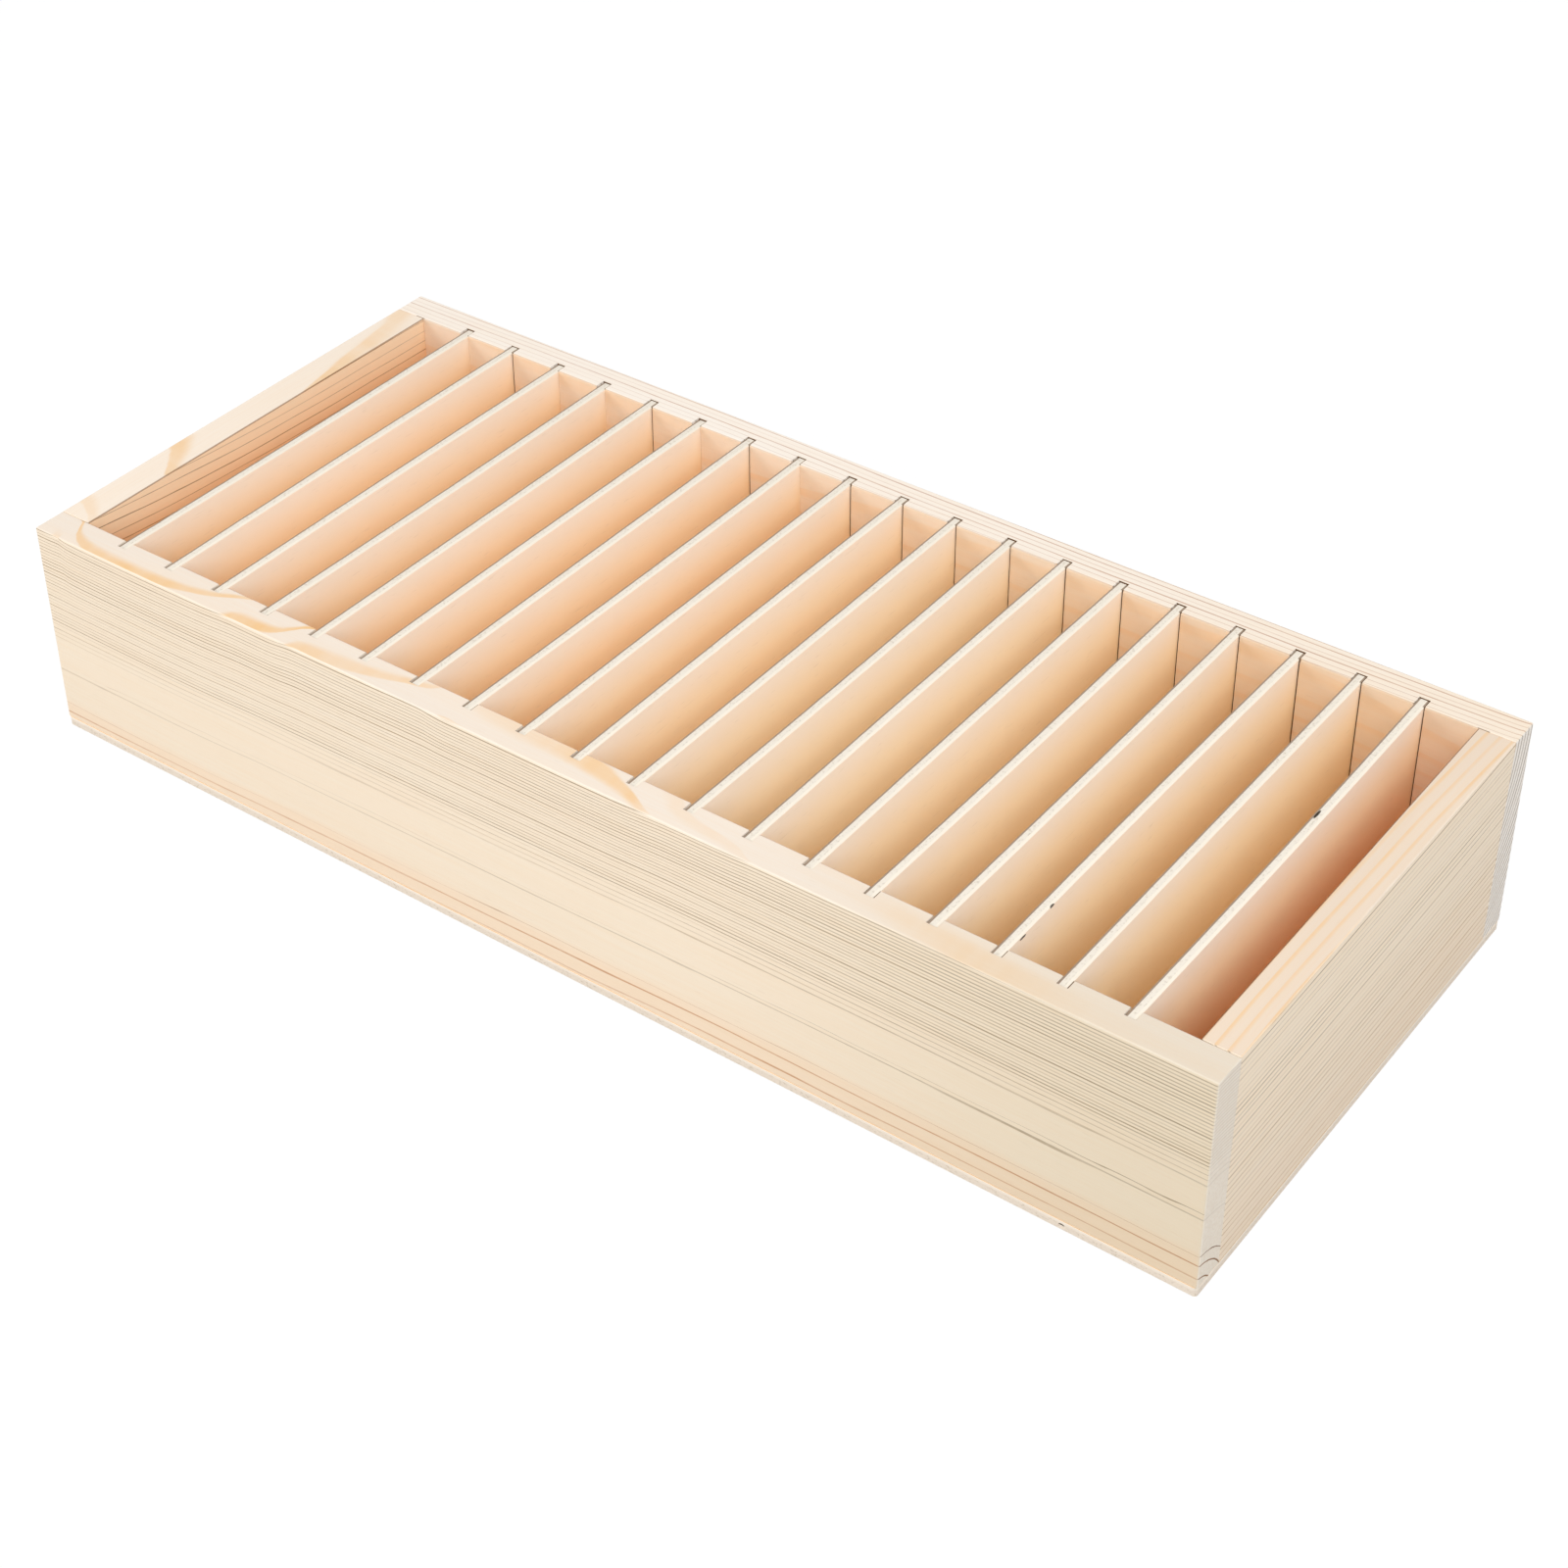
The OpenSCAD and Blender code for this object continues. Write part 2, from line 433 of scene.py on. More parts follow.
# Painted shade: the colour below darkens the groove walls, so that the gaps around the dividers read as
# shade.
PINE_GROOVE_SHADE = (0.170, 0.085, 0.040, 1.0)
PINE_LATE = (0.340, 0.260, 0.175, 1.0)
PINE_LATE_WARM = (0.875, 0.545, 0.240, 1.0)
PINE_LATE_RED = (0.620, 0.340, 0.190, 1.0)
PINE_HEART = (0.955, 0.780, 0.600, 1.0)
PINE_BROWN = (0.240, 0.120, 0.055, 1.0)
# Painted shade: the colour below darkens the inner faces of the end boards towards the bottom of the box.
PINE_DEEP_SHADE = (0.860, 0.450, 0.140, 1.0)
PINE_CREAM = (0.985, 0.868, 0.705, 1.0)
PINE_PINK = (0.640, 0.470, 0.390, 1.0)
PINE_SANDED = (0.940, 0.860, 0.740, 1.0)
PINE_END = (0.910, 0.835, 0.730, 1.0)
PINE_END_PALE = (0.985, 0.940, 0.880, 1.0)
PINE_END_LINE = (0.150, 0.110, 0.080, 1.0)
PINE_FLECK = (0.560, 0.380, 0.220, 1.0)


def make_sanded_arris():
    inputs = [
        ("Vector", "NodeSocketVector", None),
        ("Centre", "NodeSocketVector", (0.0, 0.0, 0.0)),
        ("Half Size", "NodeSocketVector", (1.0, 1.0, 1.0)),
        ("Width", "NodeSocketFloat", 0.001),
    ]
    tree, given, result = start_group("sanded_arris", inputs, [("Mask", "NodeSocketFloat")])
    from_centre = arrow(tree, "SUBTRACT", given["Vector"], given["Centre"])
    outward = arrow(tree, "ABSOLUTE", from_centre)
    x, y, z = arrow_parts(tree, arrow(tree, "SUBTRACT", given["Half Size"], outward))
    nearest = figure(tree, "MINIMUM", figure(tree, "MAXIMUM", x, y), figure(tree, "MAXIMUM", y, z))
    nearest = figure(tree, "MINIMUM", nearest, figure(tree, "MAXIMUM", x, z))
    uneven = mottle(tree, given["Vector"], 90.0, 3.0, 0.6).outputs["Fac"]
    reach = figure(tree, "MULTIPLY", given["Width"], span(tree, uneven, 0.3, 0.7, 0.35, 1.5))
    share = figure(tree, "DIVIDE", nearest, reach)
    tree.links.new(ease(tree, share, 0.0, 1.0, 1.0, 0.0), result["Mask"])
    return tree


def scaled_arrow(tree, vector, scale):
    return put(tree, "ShaderNodeVectorMath", {0: vector, "Scale": scale}, operation="SCALE").outputs[0]


def make_pith_distance():
    inputs = [
        ("Vector", "NodeSocketVector", None),
        ("Wander", "NodeSocketFloat", 0.001),
        ("Heart Sideways", "NodeSocketFloat", 0.0),
        ("Drift", "NodeSocketFloat", 0.0),
    ]
    outputs = [("Distance", "NodeSocketFloat"), ("Direction", "NodeSocketVector")]
    tree, given, result = start_group("pith_distance", inputs, outputs)
    slow = stretch(tree, given["Vector"], (7.0, 14.0, 14.0))
    drift = mottle(tree, slow, 1.0, 2.0, 0.45).outputs["Color"]
    drift = arrow(tree, "SUBTRACT", drift, (0.5, 0.5, 0.5))
    sway = scaled_arrow(tree, drift, given["Wander"])
    moved = arrow(tree, "ADD", given["Vector"], sway)
    heart = point_at(tree, y=given["Heart Sideways"])
    section = stretch(tree, arrow(tree, "SUBTRACT", moved, heart), (0.0, 1.0, 1.0))
    distance = arrow_length(tree, section)
    tree.links.new(figure(tree, "ADD", distance, given["Drift"]), result["Distance"])
    tree.links.new(arrow(tree, "NORMALIZE", section), result["Direction"])
    return tree


def make_annual_rings():
    inputs = [
        ("Vector", "NodeSocketVector", None),
        ("Ring Count", "NodeSocketFloat", 0.0),
        ("Late Share", "NodeSocketFloat", 0.35),
        ("Line Strength", "NodeSocketFloat", 1.0),
        ("Evenness", "NodeSocketFloat", 0.0),
        ("Ripple", "NodeSocketFloat", 0.22),
    ]
    tree, given, result = start_group("annual_rings", inputs, [("Late", "NodeSocketFloat")])
    ripple_place = stretch(tree, given["Vector"], (14.0, 240.0, 240.0))
    ripple = mottle(tree, ripple_place, 1.0, 2.0, 0.5).outputs["Fac"]
    ripple = figure(tree, "MULTIPLY", span(tree, ripple, 0.0, 1.0, -1.0, 1.0), given["Ripple"])
    count = figure(tree, "ADD", given["Ring Count"], ripple)
    ring = figure(tree, "FLOOR", count)
    part = figure(tree, "SUBTRACT", count, ring)
    strong = chance(tree, ring)
    broad = chance(tree, figure(tree, "ADD", ring, 57.3))
    uneven = span(tree, broad, 0.0, 1.0, 0.6, 1.4)
    breadth = span(tree, given["Evenness"], 0.0, 1.0, uneven, 1.0)
    share = figure(tree, "MULTIPLY", given["Late Share"], breadth)
    begin = figure(tree, "SUBTRACT", 1.0, share)
    full = figure(tree, "ADD", begin, figure(tree, "MULTIPLY", share, 0.6))
    rise = ease(tree, part, begin, full)
    stop = figure(tree, "SUBTRACT", 1.0, figure(tree, "MULTIPLY", share, 0.15))
    fall = ease(tree, part, stop, 1.0, 1.0, 0.0)
    line = figure(tree, "MULTIPLY", rise, fall)
    own = span(tree, figure(tree, "POWER", strong, 1.6), 0.0, 1.0, 0.32, 1.0)
    line = figure(tree, "MULTIPLY", line, span(tree, given["Evenness"], 0.0, 1.0, own, 0.9))
    along = arrow_parts(tree, given["Vector"])[0]
    slow_along = figure(tree, "MULTIPLY", along, 11.0)
    fade_place = point_at(tree, slow_along, figure(tree, "MULTIPLY", ring, 3.7))
    fade = mottle(tree, fade_place, 1.0, 2.0, 0.5).outputs["Fac"]
    line = figure(tree, "MULTIPLY", line, span(tree, fade, 0.3, 0.7, 0.45, 1.0))
    quick_along = figure(tree, "MULTIPLY", along, 130.0)
    broken_place = point_at(tree, quick_along, figure(tree, "MULTIPLY", ring, 5.3))
    broken = mottle(tree, broken_place, 1.0, 2.0, 0.6).outputs["Fac"]
    line = figure(tree, "MULTIPLY", line, span(tree, broken, 0.3, 0.7, 0.7, 1.1))
    line = figure(tree, "MULTIPLY", line, given["Line Strength"], clamp=True)
    tree.links.new(line, result["Late"])
    return tree


def draw_curve(tree, value, points, handle="VECTOR"):
    places = [place for place, height in points]
    heights = [height for place, height in points]
    low = min(heights)
    high = max(max(heights), low + 0.001)
    share = span(tree, value, places[0] * MM, places[-1] * MM)
    drawn = put(tree, "ShaderNodeFloatCurve", {"Value": share})
    curve = drawn.mapping.curves[0]
    shares = [(place - places[0]) / (places[-1] - places[0]) for place in places]
    steps = [(height - low) / (high - low) for height in heights]
    curve.points[0].location = (shares[0], steps[0])
    curve.points[1].location = (shares[-1], steps[-1])
    for step in zip(shares[1:-1], steps[1:-1]):
        curve.points.new(*step)
    for point in curve.points:
        point.handle_type = handle
    drawn.mapping.update()
    return span(tree, drawn.outputs[0], 0.0, 1.0, low, high)


def make_pine(name, turn, pith, look):
    material, tree = start_material(name)
    look = {**PLAIN_LOOK, **look}
    place = put(tree, "ShaderNodeTexCoord").outputs
    lay_feeds = {
        "Vector": place["Object"],
        "Rotation": (0.0, 0.0, turn),
        "Location": (0.0, -pith[0], -pith[1]),
    }
    lay = put(tree, "ShaderNodeMapping", lay_feeds).outputs[0]
    along = arrow_parts(tree, lay)[0]
    x, y, z = arrow_parts(tree, place["Object"])
    off_middle_x = figure(tree, "ABSOLUTE", x)
    off_middle_y = figure(tree, "ABSOLUTE", y)
    near_rim = ease(tree, z, RIM_GRAIN_START, RIM_HEIGHT, 0.0, MM)
    face_drift = draw_curve(tree, along, look["drift"], "AUTO")
    rim_drift = draw_curve(tree, along, look.get("rim_drift", look["drift"]), "AUTO")
    rim_drift = figure(tree, "SUBTRACT", rim_drift, face_drift)
    rim_drift = figure(tree, "MULTIPLY", rim_drift, near_rim)
    heart_drift = draw_curve(tree, along, look["heart"], "AUTO")
    distance_feeds = {
        "Vector": lay,
        "Wander": look["wander"],
        "Heart Sideways": figure(tree, "MULTIPLY", heart_drift, near_rim),
        "Drift": figure(tree, "ADD", figure(tree, "MULTIPLY", face_drift, MM), rim_drift),
    }
    from_pith = use_group(tree, pith_distance, distance_feeds)
    distance = from_pith["Distance"]
    facing_feeds = {"Vector": place["Normal"], "Rotation": (0.0, 0.0, turn)}
    facing = put(tree, "ShaderNodeMapping", facing_feeds, vector_type="NORMAL").outputs[0]
    is_end = ease(tree, figure(tree, "ABSOLUTE", arrow_parts(tree, facing)[0]), 0.6, 0.9)
    is_long = figure(tree, "SUBTRACT", 1.0, is_end)
    crossing_feeds = {0: facing, 1: from_pith["Direction"]}
    crossing = put(tree, "ShaderNodeVectorMath", crossing_feeds, operation="DOT_PRODUCT").outputs["Value"]
    flat_sawn = ease(tree, figure(tree, "ABSOLUTE", crossing), 0.45, 0.95)
    ring_count = draw_curve(tree, distance, look["rings"])
    further = draw_curve(tree, figure(tree, "ADD", distance, 0.5 * MM), look["rings"])
    closeness = figure(tree, "MULTIPLY", figure(tree, "SUBTRACT", further, ring_count), 2.0)
    ring_count = figure(tree, "MULTIPLY", ring_count, -1.0)
    share = figure(tree, "MULTIPLY", closeness, draw_curve(tree, distance, look["line"]))
    share = figure(tree, "ADD", share, figure(tree, "MULTIPLY", is_end, look["end_width"]))
    broader = figure(tree, "SUBTRACT", draw_curve(tree, along, look["arc"]), share)
    share = figure(tree, "ADD", share, figure(tree, "MULTIPLY", flat_sawn, broader))
    strength = draw_curve(tree, distance, look["strength"])
    left_fade, right_fade = look["fade"]
    fading = ease(tree, along, FADE_LEFT, FADE_RIGHT, left_fade, right_fade)
    strength = figure(tree, "MULTIPLY", strength, fading)
    softer = figure(tree, "SUBTRACT", draw_curve(tree, along, look["flat"]), strength)
    softer = figure(tree, "MULTIPLY", flat_sawn, softer)
    strength = figure(tree, "ADD", strength, softer)
    evenness = figure(tree, "MAXIMUM", flat_sawn, is_end)
    ring_feeds = {
        "Vector": lay,
        "Ring Count": ring_count,
        "Late Share": share,
        "Line Strength": strength,
        "Evenness": evenness,
        "Ripple": span(tree, evenness, 0.0, 1.0, 0.22, 0.04),
    }
    ring = use_group(tree, annual_rings, ring_feeds)
    fibres = use_group(tree, wood_fibres, {"Vector": lay})
    heart = ease(tree, distance, look["core"] - 2 * MM, look["core"] + 2 * MM, 1.0, 0.0)
    early = tint(tree, flat_sawn, look["early"], look["rim"])
    early = tint(tree, heart, early, PINE_HEART)
    early = tint(tree, span(tree, fibres["Cloud"], 0.35, 0.75, 0.0, 0.30), early, PINE_HEART)
    late = tint(tree, heart, look["late"], PINE_LATE_RED)
    late = tint(tree, flat_sawn, late, PINE_LATE_WARM)
    colour = tint(tree, ring["Late"], early, late)
    streak = span(tree, fibres["Streak"], 0.2, 0.8, 0.0, 0.16)
    colour = tint(tree, streak, colour, PINE_LATE_WARM)
    fleck = figure(tree, "MULTIPLY", fibres["Fleck"], 0.10)
    colour = tint(tree, fleck, colour, PINE_FLECK)
    end_line = figure(tree, "MULTIPLY", ring["Late"], draw_curve(tree, distance, look["end"]))
    end_tone = tint(tree, end_line, look["end_tone"], tint(tree, heart, PINE_END_LINE, PINE_BROWN))
    end_tone = tint(tree, span(tree, fibres["Streak"], 0.3, 0.7, 0.0, 0.22), end_tone, PINE_FLECK)
    colour = tint(tree, is_end, colour, end_tone)
    arris_feeds = {
        "Vector": place["Object"],
        "Centre": BOX_MIDDLE,
        "Half Size": BOX_HALF,
        "Width": SANDED_WIDTH,
    }
    arris = use_group(tree, sanded_arris, arris_feeds)["Mask"]
    colour = tint(tree, figure(tree, "MULTIPLY", arris, 0.5), colour, PINE_SANDED)
    # Painted shade: the long faces are darkened towards the right end of the board, where less light falls.
    shade_from, shade_to, shade_tone = look["right_shade"]
    right_shade = ease(tree, along, shade_from * MM, shade_to * MM)
    right_shade = figure(tree, "MULTIPLY", right_shade, is_long)
    colour = tint(tree, right_shade, colour, shade_tone, "MULTIPLY")
    # Painted shade: the inner face of each end board turns deeper orange towards the bottom of the box.
    deep_top, deep_end, deep_share = look["painted_deep_shade"]
    painted_deep_shade = ease(tree, z, deep_end * MM, deep_top * MM, deep_share, 0.0)
    on_inside = figure(tree, "LESS_THAN", off_middle_x, END_BOARD_INNER + 0.2 * MM)
    painted_deep_shade = figure(tree, "MULTIPLY", painted_deep_shade, on_inside)
    between_boards = figure(tree, "LESS_THAN", off_middle_y, BOARD_INNER - 0.1 * MM)
    painted_deep_shade = figure(tree, "MULTIPLY", painted_deep_shade, between_boards)
    colour = tint(tree, painted_deep_shade, colour, PINE_DEEP_SHADE)
    # Painted shade: a thin brown line along the inner rim edge stands in for the shade just beyond it.
    edge_shade_share, edge_axis, edge_place = look["edge"]
    edge_gap = figure(tree, "SUBTRACT", (off_middle_x, off_middle_y)[edge_axis], edge_place)
    on_edge = ease(tree, figure(tree, "ABSOLUTE", edge_gap), 0.12 * MM, 0.3 * MM, edge_shade_share, 0.0)
    inside = figure(tree, "LESS_THAN", off_middle_x, END_BOARD_INNER + 0.3 * MM)
    inner_edge_shade = figure(tree, "MULTIPLY", on_edge, inside)
    at_rim = ease(tree, z, RIM_HEIGHT - 0.5 * MM, RIM_HEIGHT - 0.2 * MM)
    inner_edge_shade = figure(tree, "MULTIPLY", inner_edge_shade, at_rim)
    colour = tint(tree, inner_edge_shade, colour, PINE_BROWN)
    # Painted shade: the groove walls are darkened, so that the gaps around the dividers read as shade.
    turns = figure(tree, "WRAP", figure(tree, "DIVIDE", x, GROOVE_PITCH), 0.5, -0.5)
    off_groove = figure(tree, "MULTIPLY", figure(tree, "ABSOLUTE", turns), GROOVE_PITCH)
    groove_half = GROOVE_WIDTH / 2
    in_groove = ease(tree, off_groove, groove_half + 0.02 * MM, groove_half + 0.12 * MM, 1.0, 0.0)
    past_face = ease(tree, off_middle_y, BOARD_INNER + 0.10 * MM, BOARD_INNER + 0.25 * MM)
    groove_end = BOARD_INNER + GROOVE_DEPTH + 0.2 * MM
    past_face = figure(tree, "MULTIPLY", past_face, figure(tree, "LESS_THAN", off_middle_y, groove_end))
    below_rim = ease(tree, z, RIM_HEIGHT - 0.10 * MM, RIM_HEIGHT - 0.02 * MM, 1.0, 0.0)
    groove_wall_shade = figure(tree, "MULTIPLY", figure(tree, "MULTIPLY", in_groove, past_face), below_rim)
    groove_wall_shade = figure(tree, "MULTIPLY", groove_wall_shade, is_long)
    colour = tint(tree, groove_wall_shade, colour, PINE_GROOVE_SHADE)
    roughness = span(tree, fibres["Streak"], 0.2, 0.8, 0.52, 0.68)
    roughness = figure(tree, "SUBTRACT", roughness, figure(tree, "MULTIPLY", ring["Late"], 0.08))
    roughness = figure(tree, "ADD", roughness, figure(tree, "MULTIPLY", is_end, 0.15))
    height = figure(tree, "ADD", figure(tree, "MULTIPLY", ring["Late"], 0.6), fibres["Streak"])
    finish_material(tree, colour, roughness, height, 0.30, 0.22)
    return material


def make_groove_tree():
    inputs = [
        ("Geometry", "NodeSocketGeometry", None),
        ("First Groove", "NodeSocketVector", (0.0, 0.0, 0.0)),
        ("Pitch", "NodeSocketVector", (0.02, 0.0, 0.0)),
        ("Count", "NodeSocketInt", 19),
        ("Groove Size", "NodeSocketVector", (0.003, 0.003, 0.07)),
        ("First Mouth", "NodeSocketVector", (0.0, 0.0, 0.0)),
        ("Mouth Width", "NodeSocketVector", (0.0034, 0.0, 0.0)),
        ("Chip Size", "NodeSocketFloat", 0.0005),
        ("Seed", "NodeSocketInt", 1),
        ("Material", "NodeSocketMaterial", None),
    ]
    tree, given, result, names = start_tree("sawn_grooves", inputs)
    line_feeds = {
        "Count": given["Count"],
        "Start Location": given["First Groove"],
        "Offset": given["Pitch"],
    }
    line = put(tree, "GeometryNodeMeshLine", line_feeds).outputs[0]
    saw = put(tree, "GeometryNodeMeshCube", {"Size": given["Groove Size"]}).outputs["Mesh"]
    cuts = put(tree, "GeometryNodeInstanceOnPoints", {"Points": line, "Instance": saw}).outputs[0]
    cuts = put(tree, "GeometryNodeRealizeInstances", {0: cuts}).outputs[0]
    cut = put(tree, "GeometryNodeMeshBoolean", operation="DIFFERENCE", solver="EXACT")
    tree.links.new(given["Geometry"], cut.inputs["Mesh 1"])
    tree.links.new(cuts, cut.inputs["Mesh 2"])
    for side in (0, 1):
        shift = scaled_arrow(tree, given["Mouth Width"], float(side))
        start = arrow(tree, "ADD", given["First Mouth"], shift)
        mouth_feeds = {"Count": given["Count"], "Start Location": start, "Offset": given["Pitch"]}
        mouths = put(tree, "GeometryNodeMeshLine", mouth_feeds).outputs[0]
        seed = figure(tree, "ADD", given["Seed"], float(10 * side))
        pick_feeds = {"Probability": CHIP_CHANCE, "Seed": seed}
        pick = put(tree, "FunctionNodeRandomValue", pick_feeds, data_type="BOOLEAN")
        size_feeds = {0: CHIP_SMALLEST, 1: CHIP_LARGEST, "Seed": seed}
        size = put(tree, "FunctionNodeRandomValue", size_feeds, data_type="FLOAT_VECTOR").outputs[0]
        turn_feeds = {0: CHIP_TURN_LOW, 1: CHIP_TURN_HIGH, "Seed": seed}
        turn = put(tree, "FunctionNodeRandomValue", turn_feeds, data_type="FLOAT_VECTOR").outputs[0]
        scaled = scaled_arrow(tree, size, given["Chip Size"])
        feeds = {"Points": mouths, "Instance": rough_ball(tree), "Scale": scaled, "Rotation": turn}
        chips = put(tree, "GeometryNodeInstanceOnPoints", feeds)
        tree.links.new(pick.outputs[3], chips.inputs["Selection"])
        chips = put(tree, "GeometryNodeRealizeInstances", {0: chips.outputs[0]}).outputs[0]
        tree.links.new(chips, cut.inputs["Mesh 2"])
    end_tree(tree, cut.outputs[0], given["Material"], result)
    return tree, names


def is_outer_arris(edge):
    low, high = cad_box
    outside = 0
    for axis in range(3):
        places = [point.co[axis] for point in edge.verts]
        if all(min(abs(place - low[axis]), abs(place - high[axis])) < 0.01 * MM for place in places):
            outside += 1
    return outside >= 2


def plane_board(name, node):
    shape = start_block(*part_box(node))
    bevel_edges(shape, is_outer_arris, OUTER_ARRIS, 2)
    bevel_edges(shape, is_square, JOINT_ARRIS, 1)
    return finish_mesh(name, shape)


def saw_long_board(name, node, into, seed, material):
    board = plane_board(name, node)
    low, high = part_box(node)
    inner_face = high[1] if into < 0 else low[1]
    groove_y = inner_face + into * (GROOVE_DEPTH - OVERCUT) / 2
    groove_height = high[2] - low[2] + 2 * OVERCUT
    values = {
        "First Groove": (FIRST_GROOVE, groove_y, (low[2] + high[2]) / 2),
        "Pitch": (GROOVE_PITCH, 0.0, 0.0),
        "Count": GROOVE_COUNT,
        "Groove Size": (GROOVE_WIDTH, GROOVE_DEPTH + OVERCUT, groove_height),
        "First Mouth": (FIRST_GROOVE - GROOVE_WIDTH / 2, inner_face, high[2]),
        "Mouth Width": (GROOVE_WIDTH, 0.0, 0.0),
        "Chip Size": CHIP_SIZE,
        "Seed": seed,
        "Material": material,
    }
    run_tree(board, groove_tree, groove_names, values)
    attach(board, "box")
    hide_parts(node)
    return board


sanded_arris = make_sanded_arris()
pith_distance = make_pith_distance()
annual_rings = make_annual_rings()
groove_tree, groove_names = make_groove_tree()
# A look says how one board's grain runs, with places along the board and distances from the
# heart of the log in mm: how the heart and the rings drift on face and rim, how many rings lie
# within each distance, how broad and strong their late wood is, how end grain is toned, and where
# painted shade darkens the board towards the right, deep inside the box and along the inner rim
# edge. The plain look holds what most boards share.
PLAIN_LOOK = {
    "heart": [(-200, 0), (200, 0)],
    "fade": (1.0, 1.0),
    "late": PINE_LATE,
    "end_width": 0.0,
    "end_tone": PINE_END,
    "right_shade": (300, 350, (1.0, 1.0, 1.0, 1.0)),
    "painted_deep_shade": (70, 5, 0.0),
}
front_look = {
    "early": PINE_EARLY,
    "rim": PINE_RIM,
    "wander": 0.2 * MM,
    "heart": [
        (-200, 6), (-194, 5), (-190, 0), (-178, -0.5), (-142, -0.5), (-126, 0), (-58, 0),
        (-50, 3), (-40, 14), (-32, 15), (40, 15), (65, 12.5), (105, 8), (200, 0),
    ],
    "drift": [(-200, 4.4), (-155, 4.5), (-113, 3.3), (-57, 2.2), (0, 1.0), (60, -0.4), (200, -1.1)],
    "rim_drift": [
        (-200, 3.80), (-194, 3.78), (-190.3, 3.62), (-189, 4.08), (-186.7, 4.34), (-183.3, 4.48),
        (-178, 4.57), (-165, 4.62), (-153, 4.59), (-147, 4.54), (-140, 4.44), (-133, 4.26), (-128, 4.00),
        (-123, 3.66), (-119, 3.48), (-111, 3.45), (-106.7, 3.39), (-103.3, 3.16), (-98, 2.51), (-95, 2.36),
        (-83, 2.30), (-77, 2.25), (-70, 2.14), (-64, 2.01), (-57, 1.80), (-50, 1.74), (-44, 1.72),
        (-40, 1.66), (-34, 1.45), (-20, 1.33), (0, 1.28), (8, 1.20), (14, 1.10), (20, 0.95), (29, 0.42),
        (40, -0.15), (57, -0.35), (65, -0.6), (75, -0.68), (90, -0.70), (110, -0.8), (200, -1.1),
    ],
    "rings": [
        (0, 0), (5, 2), (9.5, 3), (14, 4), (17.5, 5), (30.3, 6), (31.5, 7), (42, 8), (47, 10.85),
        (82, 41.35), (100, 57),
    ],
    "line": [(0, 0.6), (18, 0.55), (24, 0.3), (40, 0.3), (50, 0.34), (100, 0.34)],
    "strength": [(0, 2.8), (18, 2.8), (22, 1.3), (42, 1.3), (50, 4.0), (100, 4.0)],
    "fade": (0.6, 1.0),
    "flat": [
        (-200, 1.05), (-170, 1.0), (-145, 1.2), (-120, 1.3), (-98, 1.3), (-85, 0.7), (-57, 0.7),
        (-40, 0.4), (-15, 0.5), (0, 0.95), (24, 0.95), (31, 0.35), (60, 0.28), (90, 0.3), (110, 0.5),
        (140, 0.5), (165, 0.15), (200, 0.1),
    ],
    "arc": [(-200, 0.32), (-100, 0.36), (-80, 0.5), (-46, 0.4), (-30, 0.52), (200, 0.48)],
    "end": [(0, 1.0), (20, 1.0), (24, 0.25), (100, 0.25)],
    "core": 18 * MM,
    "right_shade": (30, 200, (0.865, 0.865, 0.830, 1.0)),
    "edge": (0.6, 1, BOARD_INNER + 0.1 * MM),
}
front_pine = make_pine("pine_front", 0.0, (-88 * MM, -4 * MM), front_look)
back_look = {
    "early": PINE_PALE,
    "rim": PINE_FACE,
    "wander": 4.0 * MM,
    "drift": [(-200, 0), (-60, 0.3), (60, 1.5), (200, 0.1)],
    "rings": [(0, 0), (20, 6), (60, 24), (105, 46.5), (160, 74)],
    "line": [(0, 0.6), (160, 0.6)],
    "strength": [(0, 2.0), (160, 2.0)],
    "fade": (0.6, 1.0),
    "flat": [(-200, 0.4), (200, 0.4)],
    "arc": [(-200, 0.42), (200, 0.42)],
    "late": PINE_PINK,
    "end": [(0, 0.6), (160, 0.6)],
    "end_width": 0.15,
    "end_tone": PINE_END_PALE,
    "core": 20 * MM,
    "right_shade": (-80, 200, (0.940, 0.900, 0.840, 1.0)),
    "edge": (0.2, 1, BOARD_INNER + 0.1 * MM),
}
back_pine = make_pine("pine_back", 0.0, (14 * MM, 76 * MM), back_look)
saw_long_board("front_board_planed", "front_board", -1, 3, front_pine)
saw_long_board("back_board_planed", "back_board", 1, 8, back_pine)


# End boards: two short pieces of the same planed pine, cut square and glued between the
# long boards, so that only their long grain shows. The right one has soft orange stripes
# on its rim, and the left one shows wide rings on its inner face.
QUARTER_TURN = math.radians(-90)


def fit_end_board(name, node, material):
    board = plane_board(name, node)
    board.data.materials.append(material)
    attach(board, "box")
    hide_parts(node)
    return board


left_look = {
    "early": PINE_ORANGE,
    "rim": PINE_RIM_PALE,
    "wander": 0.4 * MM,
    "drift": [(-75, 2.5), (0, 6.8), (75, 8.9)],
    "rim_drift": [(-75, 0.7), (-68, 1.7), (-43, 4.3), (-31, 5.2), (18, 7.8), (68, 8.7), (75, 8.9)],
    "rings": [(0, 0), (40, 11), (80, 22), (120, 33.5), (160, 45)],
    "line": [(0, 0.45), (160, 0.45)],
    "strength": [(0, 2.4), (160, 2.4)],
    "flat": [(-75, 0.4), (-50, 0.8), (-20, 1.1), (20, 0.9), (75, 0.6)],
    "arc": [(-75, 0.25), (75, 0.25)],
    "end": [(0, 0.5), (160, 0.5)],
    "core": 5 * MM,
    "painted_deep_shade": (71, 45, 0.9),
    "edge": (0.7, 0, END_BOARD_INNER + 0.1 * MM),
}
left_pine = make_pine("pine_left_end", QUARTER_TURN, (204 * MM, -40 * MM), left_look)
